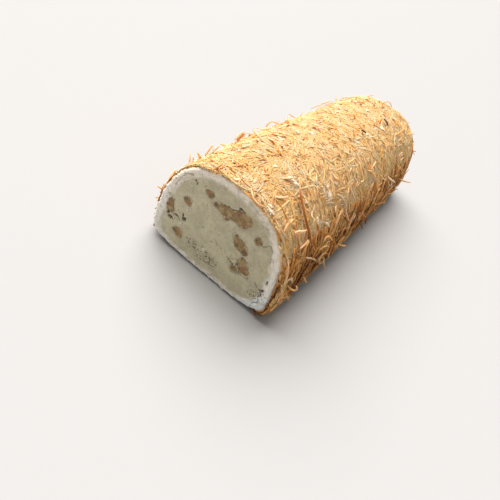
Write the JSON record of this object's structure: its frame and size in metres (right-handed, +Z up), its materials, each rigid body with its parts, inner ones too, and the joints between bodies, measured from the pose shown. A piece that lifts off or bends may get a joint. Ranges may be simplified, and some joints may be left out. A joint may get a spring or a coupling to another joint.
{
  "type": "half kadayif roll",
  "caption": "Half of a walnut nougat roll in a white skin, coated with toasted kadayif shreds, cut across at one end, rounded at the other and flat underneath.",
  "frame": {"origin": "middle of the roll's bounding box, on the surface that it lies on", "axes": "+Z up, +Y along the roll from the cut face to the rounded end, +X across"},
  "size_m": [0.0736, 0.1944, 0.0542],
  "materials": {
    "toasted_kadayif": "dry toasted pastry threads, golden with brown ends",
    "white_skin": "matt white sugar skin",
    "nougat": "matt cream nougat with pores and knife marks",
    "walnut": "cut walnut kernel with brown skin"
  },
  "bodies": {
    "root": {"kadayif_coat": "toasted_kadayif", "white_skin": "white_skin", "nougat_core": "nougat", "walnut_big": "walnut", "walnut_middle": "walnut", "walnut_low": "walnut", "walnut_left_low": "walnut", "walnut_left_edge": "walnut", "walnut_left_high": "walnut", "walnut_top": "walnut", "walnut_right": "walnut"}
  },
  "joints": []
}
